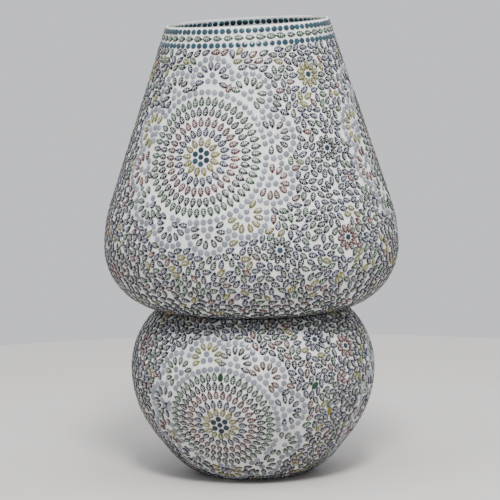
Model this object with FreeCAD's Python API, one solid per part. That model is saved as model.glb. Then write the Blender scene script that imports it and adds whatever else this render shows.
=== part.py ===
import FreeCAD, Part
import math
import os

# Mushroom-shaped mosaic table lamp: one blown glass vessel (round base, pinched neck, tall
# shade open at the top), covered outside with glass beads set in white grout. A threaded
# pipe clamped through the glass bottom carries an E27 lampholder with a bulb.
# Millimetres, +Z up, origin on the table under the middle of the lamp. The front faces -Y.

# ---- driving dimensions ----
height = 400.0
rim_slope = 2.3            # degrees: the hand-cut rim is higher towards +X
bead_thickness = 2.6       # beads and grout together, measured from the glass
bead_proud = 1.1           # what the bead tops stand above the grout
glass_wall = 2.2
bottom_glass = 3.0
felt_thickness = 2.0

# Outer outline over the bead tops, as (radius, height) centres and radii of its arcs.
waist_to_base = 95.0       # height of the base's widest circle
waist_to_shade = 203.0     # height of the shade's widest circle
base_widest = 108.1
shade_widest = 130.1
base_low_radius = 94.0
base_high_radius = 70.0
shade_under_radius = 54.7
shade_shoulder_radius = 127.0
shade_side_angle = 18.3    # of the shade's straight side, from upright
flank_angle = -38.1        # direction that the base's straight flank faces, below level
foot_arc_radius = 70.0
flank_length = 19.5
neck_fillet = 3.0          # of the glass in the pinched neck
skin_bottom = 0.6          # the grout stops just above the table

# Rows of beads round the rim: distance below the edge along the side, and how many.
rim_band = 20.3
upper_dots = (4.0, 81)
leaf_row = (10.2, 50)
lower_dots = (16.4, 81)
dot_radius = 2.4
leaf_length = 7.8
leaf_width = 4.9
bead_sunk = 0.4            # of the modelled part of a bead, below the grout's face
band_spare = 9.0           # how far the rim band's cutter reaches past it, below and outside

# Pipe, nuts and washers.
pipe_radius = 4.95
pipe_bore = 3.9
thread_clearance = 0.05
nut_across_flats = 14.0
nut_height = 4.0
washer_height = 1.5
kick_height = 11.0         # the glass bottom is pushed up in the middle to hide the nut
pipe_bottom = 2.6
pipe_side_hole = 30.0      # height of the hole where the lead enters the pipe
pipe_hole_radius = 2.9
inlet_height = 31.0        # height of the lead's inlet in the back of the base
inlet_radius = 6.0
cord_radius = 3.6

# Lampholder and bulb, heights above the table.
holder_bottom = 96.0
skirt_bottom = 118.0
insert_top = 127.0
skirt_top = 152.0
bulb_seat = 129.0
bulb_length = 108.0
bulb_radius = 30.0
cap_radius = 13.05
thread_pitch = 3.62
terminal_x = 8.5           # from the lamp's axis out to each terminal screw

os.makedirs("parts", exist_ok=True)
UP = FreeCAD.Vector(0, 0, 1)
ORIGIN = FreeCAD.Vector(0, 0, 0)


def at(radius, z):
    return FreeCAD.Vector(radius, 0, z)


def on_arc(centre, radius, degrees):
    turn = math.radians(degrees)
    return at(centre[0] + radius * math.cos(turn), centre[1] + radius * math.sin(turn))


def arc(centre, radius, start, end):
    middle = 0.5 * (start + end)
    points = [on_arc(centre, radius, turn) for turn in (start, middle, end)]
    return Part.Arc(*points).toShape()


def line(start, end):
    return Part.LineSegment(start, end).toShape()


def chain(points):
    return [line(a, b) for a, b in zip(points, points[1:])]


def turned(edges):
    """A closed outline in the XZ plane, spun about the lamp's axis."""
    face = Part.Face(Part.Wire(edges))
    return face.revolve(ORIGIN, UP, 360)


def turned_points(pairs):
    points = [at(radius, z) for radius, z in pairs]
    return turned(chain(points + points[:1]))


def cap_arc(radius, bulge):
    """A ball's radius, and half its arc in degrees, for a cap that wide and that high."""
    ball = (radius**2 + bulge**2) / (2 * bulge)
    return ball, math.degrees(math.asin(radius / ball))


def ring(inner, outer, low, high):
    return turned_points([(inner, low), (outer, low), (outer, high), (inner, high)])


def rod(radius, low, high, x=0.0, y=0.0):
    return Part.makeCylinder(radius, high - low, FreeCAD.Vector(x, y, low))


def save(shape, node):
    shape.exportStep("parts/" + node + ".step")


# ---- outline of the vessel, at any depth below the bead tops ----
low_centre = (base_widest - base_low_radius, waist_to_base)
high_centre = (base_widest - base_high_radius, waist_to_base)
under_centre = (shade_widest - shade_under_radius, waist_to_shade)
shoulder_centre = (shade_widest - shade_shoulder_radius, waist_to_shade)
flank_turn = math.radians(flank_angle)
flank_top = on_arc(low_centre, base_low_radius, flank_angle)
foot_centre = (
    flank_top.x + flank_length * math.sin(flank_turn) - foot_arc_radius * math.cos(flank_turn),
    flank_top.z - flank_length * math.cos(flank_turn) - foot_arc_radius * math.sin(flank_turn),
)


def turn_at_height(centre, radius, z):
    """The direction below level in which an arc reaches a height."""
    return math.degrees(math.asin((z - centre[1]) / radius))


def side_end(depth, z):
    """The end of the shade's straight side, at a height."""
    start = on_arc(shoulder_centre, shade_shoulder_radius - depth, shade_side_angle)
    return at(start.x - (z - start.z) * math.tan(math.radians(shade_side_angle)), z)


def neck(depth, fillet):
    """Centre of the neck's fillet, and the directions in which the two arcs meet it."""
    below = base_high_radius - depth + fillet
    above = shade_under_radius - depth + fillet
    across = under_centre[0] - high_centre[0]
    rise = under_centre[1] - high_centre[1]
    span = math.hypot(across, rise)
    along = (span**2 + below**2 - above**2) / (2 * span)
    aside = math.sqrt(below**2 - along**2)
    centre = (
        high_centre[0] + (along * across + aside * rise) / span,
        high_centre[1] + (along * rise - aside * across) / span,
    )
    from_base = math.atan2(centre[1] - high_centre[1], centre[0] - high_centre[0])
    from_shade = math.atan2(centre[1] - under_centre[1], centre[0] - under_centre[0])
    return centre, math.degrees(from_base), math.degrees(from_shade)


def base_edges(depth, foot_z, neck_turn):
    """From the foot up to the neck."""
    foot_turn = turn_at_height(foot_centre, foot_arc_radius - depth, foot_z)
    flank_low = on_arc(foot_centre, foot_arc_radius - depth, flank_angle)
    flank_high = on_arc(low_centre, base_low_radius - depth, flank_angle)
    return [
        arc(foot_centre, foot_arc_radius - depth, foot_turn, flank_angle),
        line(flank_low, flank_high),
        arc(low_centre, base_low_radius - depth, flank_angle, 0),
        arc(high_centre, base_high_radius - depth, 0, neck_turn),
    ]


def shade_edges(depth, neck_turn, top_z):
    """From the neck up the shade."""
    side_start = on_arc(shoulder_centre, shade_shoulder_radius - depth, shade_side_angle)
    return [
        arc(under_centre, shade_under_radius - depth, neck_turn, 0),
        arc(shoulder_centre, shade_shoulder_radius - depth, 0, shade_side_angle),
        line(side_start, side_end(depth, top_z)),
    ]


def backwards(edges):
    return [edge.reversed() for edge in reversed(edges)]


def first_point(edges):
    return edges[0].valueAt(edges[0].FirstParameter)


def last_point(edges):
    return edges[-1].valueAt(edges[-1].LastParameter)


# The vessel and its mosaic are made taller than the lamp, then cut on the sloping rim.
uncut_top = height + 15
above_rim = Part.makeBox(600, 600, 200, FreeCAD.Vector(-300, -300, 0))
above_rim.rotate(ORIGIN, FreeCAD.Vector(0, 1, 0), -rim_slope)
above_rim.translate(FreeCAD.Vector(0, 0, height))

# The inlet for the lead, through the flank of the base at the back, square to the wall.
out_back = FreeCAD.Vector(0, math.cos(flank_turn), math.sin(flank_turn))
flank_run = (flank_top.z - inlet_height) * math.tan(-flank_turn)
inlet_point = FreeCAD.Vector(0, flank_top.x - flank_run, inlet_height)


def about_inlet(radius, inner, outer):
    """A disc on the inlet's axis, between two distances out from the bead tops."""
    return Part.makeCylinder(radius, outer - inner, inlet_point + out_back * inner, out_back)


# ---- glass body: one piece of blown glass, about 2 mm thick ----
def glass_body():
    outer_depth = bead_thickness
    inner_depth = bead_thickness + glass_wall
    outer_neck, outer_base_turn, outer_shade_turn = neck(outer_depth, neck_fillet)
    inner_fillet = neck_fillet + glass_wall
    inner_base = base_edges(inner_depth, felt_thickness + bottom_glass, outer_base_turn)
    outer = base_edges(outer_depth, felt_thickness, outer_base_turn)
    outer += [arc(outer_neck, neck_fillet, outer_base_turn + 180, outer_shade_turn + 180)]
    outer += shade_edges(outer_depth, outer_shade_turn, uncut_top)
    inner = inner_base
    inner += [arc(outer_neck, inner_fillet, outer_base_turn + 180, outer_shade_turn + 180)]
    inner += shade_edges(inner_depth, outer_shade_turn, uncut_top)
    under = [
        at(pipe_radius + 0.7, kick_height),
        at(17.0, kick_height),
        at(34.0, felt_thickness),
        first_point(outer),
    ]
    over = [
        first_point(inner),
        at(35.0, felt_thickness + bottom_glass),
        at(18.0, kick_height + bottom_glass),
        at(pipe_radius + 0.7, kick_height + bottom_glass),
        under[0],
    ]
    top = [line(last_point(outer), last_point(inner))]
    body = turned(chain(under) + outer + top + backwards(inner) + chain(over))
    return body.cut(above_rim).cut(about_inlet(inlet_radius, -20, 10))


save(glass_body(), "glass_body")


# ---- mosaic skins: beads and grout together, one on the base and one on the shade ----
crease, base_crease_turn, shade_crease_turn = neck(0.0, 0.0)
glass_neck, glass_base_turn, glass_shade_turn = neck(bead_thickness, neck_fillet)
neck_waist = at(glass_neck[0] - neck_fillet, glass_neck[1])
crease_point = at(crease[0], crease[1])


def base_mosaic():
    outer = base_edges(0.0, skin_bottom, base_crease_turn)
    inner = base_edges(bead_thickness, felt_thickness, glass_base_turn)
    inner += [arc(glass_neck, neck_fillet, glass_base_turn + 180, 180)]
    across = [line(crease_point, neck_waist)]
    inside_foot = first_point(inner)
    foot = chain([inside_foot, at(inside_foot.x, skin_bottom), first_point(outer)])
    skin = turned(outer + across + backwards(inner) + foot)
    return skin.cut(about_inlet(inlet_radius, -20, 10))


def shade_mosaic():
    outer = shade_edges(0.0, shade_crease_turn, uncut_top)
    inner = [arc(glass_neck, neck_fillet, 180, glass_shade_turn + 180)]
    inner += shade_edges(bead_thickness, glass_shade_turn, uncut_top)
    top = [line(last_point(outer), last_point(inner))]
    skin = turned(outer + top + backwards(inner) + [line(neck_waist, crease_point)])
    # Round the rim only the grout is left, so that the three rows of beads stand on it.
    slant = math.cos(math.radians(shade_side_angle))
    band_low = side_end(0.0, height - rim_band * slant - band_spare)
    band_top = side_end(0.0, uncut_top)
    shift = bead_proud / slant
    band = turned(chain([
        at(band_low.x - shift, band_low.z),
        at(band_low.x + band_spare, band_low.z),
        at(band_top.x + band_spare, band_top.z),
        at(band_top.x - shift, band_top.z),
        at(band_low.x - shift, band_low.z),
    ]))
    below_band = above_rim.copy()
    below_band.translate(FreeCAD.Vector(0, 0, -200 - rim_band * slant))
    return skin.cut(above_rim).cut(band.cut(below_band))


save(base_mosaic(), "base_mosaic")
save(shade_mosaic(), "shade_mosaic")


# ---- rim beads: two rows of round beads and one of leaf beads, pressed into the grout ----
bead_bottom = -(bead_proud + bead_sunk)


def dot_bead():
    """A round bead's domed top, its highest point at the origin, facing +Z."""
    dome = 0.7 * bead_proud
    ball, half_arc = cap_arc(dot_radius, dome)
    edges = chain([at(0, bead_bottom), at(dot_radius, bead_bottom), at(dot_radius, -dome)])
    edges += [arc((0, -ball), ball, 90 - half_arc, 90), line(at(0, 0), at(0, bead_bottom))]
    return turned(edges)


def leaf_bead():
    """A leaf-shaped bead, round at one end and pointed at +X, its top at the origin."""
    half = 0.5 * leaf_length
    wide = 0.5 * leaf_width
    tip = FreeCAD.Vector(half, 0, bead_bottom)
    tail = FreeCAD.Vector(-half, 0, bead_bottom)
    left = FreeCAD.Vector(-0.2 * half, wide, bead_bottom)
    right = FreeCAD.Vector(-0.2 * half, -wide, bead_bottom)
    edges = []
    for side, sign in ((left, 1), (right, -1)):
        curve = Part.BSplineCurve()
        curve.interpolate(
            [tail, side, tip],
            Tangents=[
                FreeCAD.Vector(0, sign, 0) * leaf_width,
                FreeCAD.Vector(1, 0, 0) * leaf_length,
                FreeCAD.Vector(1, -0.9 * sign, 0) * wide,
            ],
            TangentFlags=[True, True, True],
        )
        edges.append(curve.toShape())
    face = Part.Face(Part.Wire(edges))
    return face.extrude(FreeCAD.Vector(0, 0, bead_proud + bead_sunk - 0.15))


def round_the_rim(bead, below_edge, count, first_turn):
    """Copies of a bead round the shade, at a distance below the sloping edge."""
    lean = math.radians(shade_side_angle)
    slope = math.tan(math.radians(rim_slope))
    copies = []
    for number in range(count):
        turn = first_turn + 360.0 * number / count
        edge = side_end(0.0, height)
        edge_z = height + slope * edge.x * math.cos(math.radians(turn))
        place = side_end(0.0, edge_z - below_edge * math.cos(lean))
        copy = bead.copy()
        copy.rotate(ORIGIN, UP, 90)
        copy.rotate(ORIGIN, FreeCAD.Vector(0, 1, 0), 90 - shade_side_angle)
        copy.translate(place)
        copy.rotate(ORIGIN, UP, turn)
        copies.append(copy)
    return Part.makeCompound(copies)


save(round_the_rim(dot_bead(), upper_dots[0], upper_dots[1], 0.0), "rim_dots_upper")
save(round_the_rim(leaf_bead(), leaf_row[0], leaf_row[1], 1.0), "rim_leaves")
save(round_the_rim(dot_bead(), lower_dots[0], lower_dots[1], 2.0), "rim_dots_lower")


# ---- foot and inlet ----
foot_outer = first_point(base_edges(bead_thickness, felt_thickness, 40.0)).x
save(ring(34.5, foot_outer - 0.6, 0.0, felt_thickness), "foot_felt_ring")


def cord_grommet():
    wall = bead_thickness + glass_wall
    flange = 1.6
    body = about_inlet(inlet_radius, -wall - flange, flange)
    outside = about_inlet(inlet_radius + 2.6, 0.0, flange)
    inside = about_inlet(inlet_radius + 2.2, -wall - flange, -wall)
    return body.fuse([outside, inside]).removeSplitter().cut(about_inlet(cord_radius, -20, 10))


save(cord_grommet(), "cord_grommet")


# ---- threaded pipe and what clamps it to the glass bottom ----
pipe_top = holder_bottom + 9.0
pipe = ring(pipe_bore, pipe_radius, pipe_bottom, pipe_top)
side_hole = Part.makeCylinder(
    pipe_hole_radius, 12, FreeCAD.Vector(0, 0, pipe_side_hole), FreeCAD.Vector(0, 1, 0)
)
save(pipe.cut(side_hole), "lamp_pipe")
clear_radius = pipe_radius + thread_clearance


def hex_nut(low):
    corner = nut_across_flats / math.sqrt(3)
    corners = [
        FreeCAD.Vector(corner * math.cos(math.radians(a)), corner * math.sin(math.radians(a)), low)
        for a in range(0, 361, 60)
    ]
    block = Part.Face(Part.makePolygon(corners)).extrude(UP * nut_height)
    bevel = turned_points([
        (0, low), (corner - 0.9, low), (corner + 0.2, low + 0.7),
        (corner + 0.2, low + nut_height - 0.7), (corner - 0.9, low + nut_height),
        (0, low + nut_height),
    ])
    return block.common(bevel).cut(rod(clear_radius, low - 1, low + nut_height + 1))


level = kick_height - washer_height
save(ring(5.3, 14.0, level, kick_height), "lower_rubber_washer")
level -= washer_height
save(ring(5.2, 12.0, level, level + washer_height), "lower_steel_washer")
save(hex_nut(level - nut_height), "lower_pipe_nut")
level = kick_height + bottom_glass
save(ring(5.3, 16.0, level, level + washer_height), "upper_rubber_washer")
level += washer_height
save(ring(5.2, 15.0, level, level + washer_height), "upper_steel_washer")
save(hex_nut(level + washer_height), "upper_pipe_nut")
save(hex_nut(holder_bottom - nut_height), "holder_lock_nut")


# ---- lampholder ----
def holder_cap():
    """Moulded cap: a collar on the pipe that opens out to the width of the skirt."""
    collar = 9.0
    body = turned_points([
        (clear_radius, holder_bottom), (collar, holder_bottom), (collar, holder_bottom + 7),
        (19.2, skirt_bottom - 6), (20.5, skirt_bottom - 3), (20.5, skirt_bottom),
        (18.3, skirt_bottom), (18.3, skirt_bottom - 3.2), (7.5, holder_bottom + 9.4),
        (clear_radius, holder_bottom + 9.4),
    ])
    grub_hole = Part.makeCylinder(
        1.5, 12, FreeCAD.Vector(3.0, 0, holder_bottom + 3.5), FreeCAD.Vector(1, 0, 0)
    )
    return body.cut(grub_hole)


def grub_screw():
    """Locks the cap to the pipe, with a slot for a small screwdriver."""
    start = clear_radius + 0.05
    screw = Part.makeCylinder(
        1.45, 4.2, FreeCAD.Vector(start, 0, holder_bottom + 3.5), FreeCAD.Vector(1, 0, 0)
    )
    slot = Part.makeBox(1.0, 0.5, 4.0, FreeCAD.Vector(start + 3.4, -0.25, holder_bottom + 1.5))
    return screw.cut(slot)


def holder_skirt():
    """Skirt screwed to the cap; grooves on its outside are the thread for the ring."""
    outline = [(18.3, skirt_bottom), (20.5, skirt_bottom), (20.5, skirt_bottom + 8)]
    outline += [(19.4, skirt_bottom + 10)]
    groove = skirt_bottom + 12.0
    while groove < skirt_top - 5:
        outline += [(19.4, groove), (18.9, groove + 0.8), (19.4, groove + 1.6)]
        groove += 2.4
    outline += [(19.4, skirt_top - 1), (18.6, skirt_top), (15.4, skirt_top)]
    outline += [(15.4, skirt_top - 1.6), (17.6, skirt_top - 1.6), (17.6, skirt_bottom + 1)]
    outline += [(18.3, skirt_bottom + 1)]
    return turned_points(outline)


def holder_ring():
    """Ring screwed onto the skirt, with finger grips round its edge."""
    low = skirt_bottom + 12.5
    body = turned_points([
        (19.5, low), (23.0, low), (28.0, low + 1.2), (28.0, low + 4.2),
        (22.4, low + 3.2), (21.6, low + 9.0), (19.5, low + 9.0),
    ])
    grips = [
        rod(1.6, low - 1, low + 8, 29.0 * math.cos(a), 29.0 * math.sin(a))
        for a in (math.radians(15 * n) for n in range(24))
    ]
    return body.cut(grips)


def holder_insert():
    """Ceramic block that carries the contacts."""
    block = rod(17.3, insert_top - 10.0, insert_top)
    block = block.fuse(rod(12.4, insert_top - 15.0, insert_top - 10.0)).removeSplitter()
    holes = [rod(1.55, insert_top - 16, insert_top - 6, x) for x in (-terminal_x, terminal_x)]
    return block.cut(holes)


def terminal_screws():
    """Two slotted screws that clamp the wires under the ceramic block."""
    screws = []
    head_top = insert_top - 15.0
    for x in (-terminal_x, terminal_x):
        head = rod(2.7, head_top - 2.0, head_top, x)
        shank = rod(1.5, head_top, head_top + 7, x)
        slot = Part.makeBox(8, 0.7, 1.0, FreeCAD.Vector(x - 4, -0.35, head_top - 2.0))
        screws.append(head.fuse(shank).removeSplitter().cut(slot))
    return Part.makeCompound(screws)


def rolled_thread(radius, depth, low, turns):
    """Edges up a rounded screw thread's side, as plain rings one pitch apart."""
    edges = []
    for number in range(turns):
        start = low + number * thread_pitch
        middle = start + 0.5 * thread_pitch
        end = start + thread_pitch
        crest = Part.Arc(at(radius, start), at(radius + depth, start + 0.25 * thread_pitch),
                         at(radius, middle))
        hollow = Part.Arc(at(radius, middle), at(radius - 0.2, middle + 0.25 * thread_pitch),
                          at(radius, end))
        edges += [crest.toShape(), hollow.toShape()]
    return edges


def screw_shell():
    """Pressed brass shell of the holder, that the bulb's cap screws into."""
    low = insert_top
    inner = rolled_thread(13.6, 0.5, low, 6)
    outer = rolled_thread(14.05, 0.5, low, 6)
    bottom = [line(at(13.6, low), at(14.05, low))]
    top = [line(last_point(outer), last_point(inner))]
    return turned(bottom + outer + top + backwards(inner))


def centre_contact():
    """Brass tongue fixed at one side of the block and bent up under the bulb's tip."""
    thick = 0.5
    rise = bulb_seat - insert_top
    outline = [
        (-10.5, 0), (-5.0, 0), (-2.5, rise - thick), (2.6, rise - thick), (4.0, 0.35),
        (4.4, 0.6), (2.9, rise), (-2.8, rise), (-5.3, thick), (-10.5, thick),
    ]
    points = [FreeCAD.Vector(x, -2.5, insert_top + z) for x, z in outline + outline[:1]]
    return Part.Face(Part.makePolygon(points)).extrude(FreeCAD.Vector(0, 5.0, 0))


save(holder_cap(), "holder_cap")
save(grub_screw(), "holder_grub_screw")
save(holder_skirt(), "holder_skirt")
save(holder_ring(), "holder_ring")
save(holder_insert(), "holder_insert")
save(terminal_screws(), "holder_terminal_screws")
save(screw_shell(), "holder_screw_shell")
save(centre_contact(), "holder_centre_contact")


# ---- bulb: an opal LED bulb with an E27 cap, which lifts out through the open rim ----
cap_low = bulb_seat + 5.0
cap_high = cap_low + 5 * thread_pitch
housing_high = bulb_seat + 58.0
globe_centre = bulb_seat + bulb_length - bulb_radius - 1.0
globe_turn = math.degrees(math.asin((housing_high - globe_centre) / bulb_radius))
globe_foot = bulb_radius * math.cos(math.radians(globe_turn))


def tip_contact():
    ball, half_arc = cap_arc(4.6, 1.4)
    dome = arc((0, bulb_seat + ball), ball, -90, half_arc - 90)
    sides = chain([at(4.6, bulb_seat + 1.4), at(4.6, bulb_seat + 2.0),
                   at(0, bulb_seat + 2.0), at(0, bulb_seat)])
    return turned([dome] + sides)


def tip_insulator():
    return turned_points([
        (0, bulb_seat + 2.0), (5.4, bulb_seat + 2.0), (11.6, cap_low - 0.6),
        (11.6, cap_low + 0.6), (0, cap_low + 0.6),
    ])


def bulb_screw_cap():
    """Thin metal cap with a rolled thread, crimped onto the housing."""
    thick = 0.35
    root = cap_radius - 0.55
    outer = rolled_thread(root, 0.55, cap_low, 5)
    inner = rolled_thread(root - thick, 0.5, cap_low, 5)
    bottom = [line(at(root - thick, cap_low), at(root, cap_low))]
    top = [line(last_point(outer), last_point(inner))]
    return turned(bottom + outer + top + backwards(inner))


def bulb_housing():
    """Moulded white housing between the cap and the opal globe."""
    wall = 1.6
    outer = Part.Arc(at(12.9, cap_high + 3), at(17.2, cap_high + 20), at(globe_foot, housing_high))
    inner = Part.Arc(at(globe_foot - wall, housing_high), at(17.2 - wall, cap_high + 20),
                     at(12.9 - wall, cap_high + 3))
    neck_edges = chain([at(12.9 - wall, cap_high + 3), at(10.4, cap_high), at(12.6, cap_high),
                        at(12.9, cap_high + 3)])
    rim = [line(at(globe_foot, housing_high), at(globe_foot - wall, housing_high))]
    return turned([outer.toShape()] + rim + [inner.toShape()] + neck_edges)


def bulb_diffuser():
    """Opal globe, 1.2 mm thick, snapped onto the housing."""
    wall = 1.2
    centre = (0.0, globe_centre)
    inner_radius = bulb_radius - wall
    inner_turn = math.degrees(math.asin((housing_high - globe_centre) / inner_radius))
    outer = arc(centre, bulb_radius, globe_turn, 90)
    inner = arc(centre, inner_radius, inner_turn, 90)
    top = [line(at(0, globe_centre + bulb_radius), at(0, globe_centre + inner_radius))]
    bottom = [line(on_arc(centre, inner_radius, inner_turn), on_arc(centre, bulb_radius, globe_turn))]
    return turned([outer] + top + [inner.reversed()] + bottom)


led_circle = 13.0
save(tip_contact(), "bulb_tip_contact")
save(tip_insulator(), "bulb_insulator")
save(bulb_screw_cap(), "bulb_screw_cap")
save(bulb_housing(), "bulb_housing")
save(bulb_diffuser(), "bulb_diffuser")
save(rod(globe_foot - 4.2, housing_high - 3.0, housing_high - 1.5), "bulb_led_board")
leds = [
    Part.makeBox(2.8, 3.5, 0.8, FreeCAD.Vector(-1.4, led_circle, housing_high - 1.5))
    for number in range(8)
]
for number, led in enumerate(leds):
    led.rotate(ORIGIN, UP, 45 * number)
save(Part.makeCompound(leds), "bulb_leds")
save(Part.makeBox(15, 1.6, 24, FreeCAD.Vector(-7.5, -0.8, cap_high - 6)), "bulb_driver_board")
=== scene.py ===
import math

import bmesh
import bpy
import numpy as np
from mathutils import Matrix, Vector


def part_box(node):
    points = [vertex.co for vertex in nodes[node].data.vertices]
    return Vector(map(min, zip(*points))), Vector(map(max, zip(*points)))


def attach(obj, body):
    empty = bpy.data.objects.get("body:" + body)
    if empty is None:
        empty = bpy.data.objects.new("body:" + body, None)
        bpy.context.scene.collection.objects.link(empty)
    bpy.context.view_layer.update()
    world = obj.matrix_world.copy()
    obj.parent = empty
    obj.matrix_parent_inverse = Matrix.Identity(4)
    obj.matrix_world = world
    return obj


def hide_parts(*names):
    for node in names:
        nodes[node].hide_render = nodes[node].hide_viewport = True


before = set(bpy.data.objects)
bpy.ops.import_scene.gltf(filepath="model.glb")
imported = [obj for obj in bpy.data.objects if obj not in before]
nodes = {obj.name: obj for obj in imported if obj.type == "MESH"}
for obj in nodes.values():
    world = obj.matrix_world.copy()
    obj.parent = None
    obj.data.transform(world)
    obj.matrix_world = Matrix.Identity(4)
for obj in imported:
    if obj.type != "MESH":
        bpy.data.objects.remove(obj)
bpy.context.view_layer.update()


# The camera: it looks a little down on the lamp from across the room, with a long lens,
# and hangs very slightly out of level.
camera_height = 0.536
camera_distance = 2.6
camera_aside = -0.0013
camera_pitch = math.radians(7.405)
camera_roll = math.radians(-0.80)

camera_data = bpy.data.cameras.new("camera")
camera_data.lens = 213.7
camera_data.sensor_width = 36
camera = bpy.data.objects.new("camera", camera_data)
bpy.context.scene.collection.objects.link(camera)
tilt = Matrix.Rotation(math.radians(90) - camera_pitch, 4, "X")
place = Matrix.Translation((camera_aside, -camera_distance, camera_height))
camera.matrix_world = place @ tilt @ Matrix.Rotation(camera_roll, 4, "Z")
bpy.context.scene.camera = camera


# The vessel: one piece of clear blown glass, round base, pinched neck and tall shade. It is
# blown into a mould, so its wall is a little uneven, and its rim is cut off by hand.
def start_material(name):
    material = bpy.data.materials.new(name)
    material.use_nodes = True
    shader = material.node_tree.nodes["Principled BSDF"]
    return material, material.node_tree, shader


def noise(tree, scale, detail=3.0):
    """Smooth noise through the material, scale in cycles a metre."""
    place = tree.nodes.new("ShaderNodeTexCoord")
    texture = tree.nodes.new("ShaderNodeTexNoise")
    texture.inputs["Scale"].default_value = scale
    texture.inputs["Detail"].default_value = detail
    tree.links.new(place.outputs["Object"], texture.inputs["Vector"])
    return texture.outputs["Fac"]


def blend_colours(tree, factor, low, high, first=0.3, last=0.7):
    ramp = tree.nodes.new("ShaderNodeValToRGB")
    ramp.color_ramp.elements[0].position = first
    ramp.color_ramp.elements[1].position = last
    ramp.color_ramp.elements[0].color = (*low, 1)
    ramp.color_ramp.elements[1].color = (*high, 1)
    tree.links.new(factor, ramp.inputs["Fac"])
    return ramp.outputs["Color"]


def spread(tree, factor, low, high):
    """Noise stretched to run from one value to another."""
    span = tree.nodes.new("ShaderNodeMapRange")
    span.inputs["From Min"].default_value = 0.3
    span.inputs["From Max"].default_value = 0.7
    span.inputs["To Min"].default_value = low
    span.inputs["To Max"].default_value = high
    tree.links.new(factor, span.inputs["Value"])
    return span.outputs["Result"]


def roughen(tree, shader, factor, depth):
    bump = tree.nodes.new("ShaderNodeBump")
    bump.inputs["Distance"].default_value = depth
    bump.inputs["Strength"].default_value = 1.0
    tree.links.new(factor, bump.inputs["Height"])
    tree.links.new(bump.outputs["Normal"], shader.inputs["Normal"])


def surface_finish(name, low, high, grain, smooth, rough, depth, metal=0.0):
    """A finish that varies between two colours and two roughnesses, with a fine bump."""
    material, tree, shader = start_material(name)
    patches = noise(tree, grain)
    tree.links.new(blend_colours(tree, patches, low, high), shader.inputs["Base Color"])
    wear = noise(tree, grain * 2.3)
    tree.links.new(spread(tree, wear, smooth, rough), shader.inputs["Roughness"])
    shader.inputs["Metallic"].default_value = metal
    roughen(tree, shader, noise(tree, grain * 6), depth)
    return material


def give(node, material):
    for slot in nodes[node].material_slots:
        slot.material = material


def blown_glass():
    material, tree, shader = start_material("blown_glass")
    tint = blend_colours(tree, noise(tree, 25), (0.80, 0.88, 0.90), (0.92, 0.96, 0.97))
    tree.links.new(tint, shader.inputs["Base Color"])
    tree.links.new(spread(tree, noise(tree, 60), 0.02, 0.07), shader.inputs["Roughness"])
    shader.inputs["Transmission Weight"].default_value = 1.0
    shader.inputs["IOR"].default_value = 1.15
    shader.inputs["Alpha"].default_value = 0.35
    roughen(tree, shader, noise(tree, 45, 1.0), 0.0004)
    return material


give("glass_body", blown_glass())


# The foot: a ring of pressed black felt glued under the glass, and a rubber grommet in the
# back of the base, where a lead would come in.
def pressed_felt():
    material, tree, shader = start_material("pressed_felt")
    fibres = noise(tree, 2600, 6)
    tree.links.new(blend_colours(tree, fibres, (0.012, 0.012, 0.014), (0.05, 0.05, 0.055)),
                   shader.inputs["Base Color"])
    tree.links.new(spread(tree, noise(tree, 300), 0.85, 1.0), shader.inputs["Roughness"])
    shader.inputs["Sheen Weight"].default_value = 0.5
    roughen(tree, shader, fibres, 0.0003)
    return material


give("foot_felt_ring", pressed_felt())
black_rubber = surface_finish("black_rubber", (0.015, 0.015, 0.016), (0.035, 0.035, 0.036),
                              400, 0.55, 0.75, 0.00004)
for node in ("cord_grommet", "lower_rubber_washer", "upper_rubber_washer"):
    give(node, black_rubber)


# The pipe and what clamps it: zinc-plated steel, an M10 pipe with a nut and a washer on each
# side of the glass bottom, and a lock nut under the lampholder.
def plated_pipe():
    material, tree, shader = start_material("plated_pipe")
    tree.links.new(blend_colours(tree, noise(tree, 180), (0.42, 0.43, 0.45), (0.66, 0.67, 0.70)),
                   shader.inputs["Base Color"])
    tree.links.new(spread(tree, noise(tree, 500), 0.25, 0.45), shader.inputs["Roughness"])
    shader.inputs["Metallic"].default_value = 1.0
    place = tree.nodes.new("ShaderNodeTexCoord")
    threads = tree.nodes.new("ShaderNodeTexWave")
    threads.bands_direction = "Z"
    threads.inputs["Scale"].default_value = 314
    tree.links.new(place.outputs["Object"], threads.inputs["Vector"])
    roughen(tree, shader, threads.outputs["Fac"], 0.0004)
    return material


give("lamp_pipe", plated_pipe())
zinc_plate = surface_finish("zinc_plate", (0.45, 0.46, 0.48), (0.68, 0.69, 0.72),
                            260, 0.25, 0.45, 0.00003, metal=1.0)
for node in ("lower_steel_washer", "lower_pipe_nut", "upper_steel_washer", "upper_pipe_nut",
             "holder_lock_nut", "holder_grub_screw"):
    give(node, zinc_plate)


# The lampholder: black moulded cap, skirt and ring round a white ceramic block, which holds
# the brass contacts and the pressed brass shell.
black_moulding = surface_finish("black_moulding", (0.012, 0.012, 0.013), (0.028, 0.028, 0.030),
                                350, 0.32, 0.48, 0.00003)
white_ceramic = surface_finish("white_ceramic", (0.70, 0.68, 0.62), (0.82, 0.80, 0.75),
                               220, 0.55, 0.75, 0.00005)
pressed_brass = surface_finish("pressed_brass", (0.48, 0.33, 0.12), (0.72, 0.53, 0.25),
                               160, 0.22, 0.42, 0.00003, metal=1.0)
for node in ("holder_cap", "holder_skirt", "holder_ring"):
    give(node, black_moulding)
for node in ("holder_terminal_screws", "holder_screw_shell", "holder_centre_contact"):
    give(node, pressed_brass)
give("holder_insert", white_ceramic)


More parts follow.
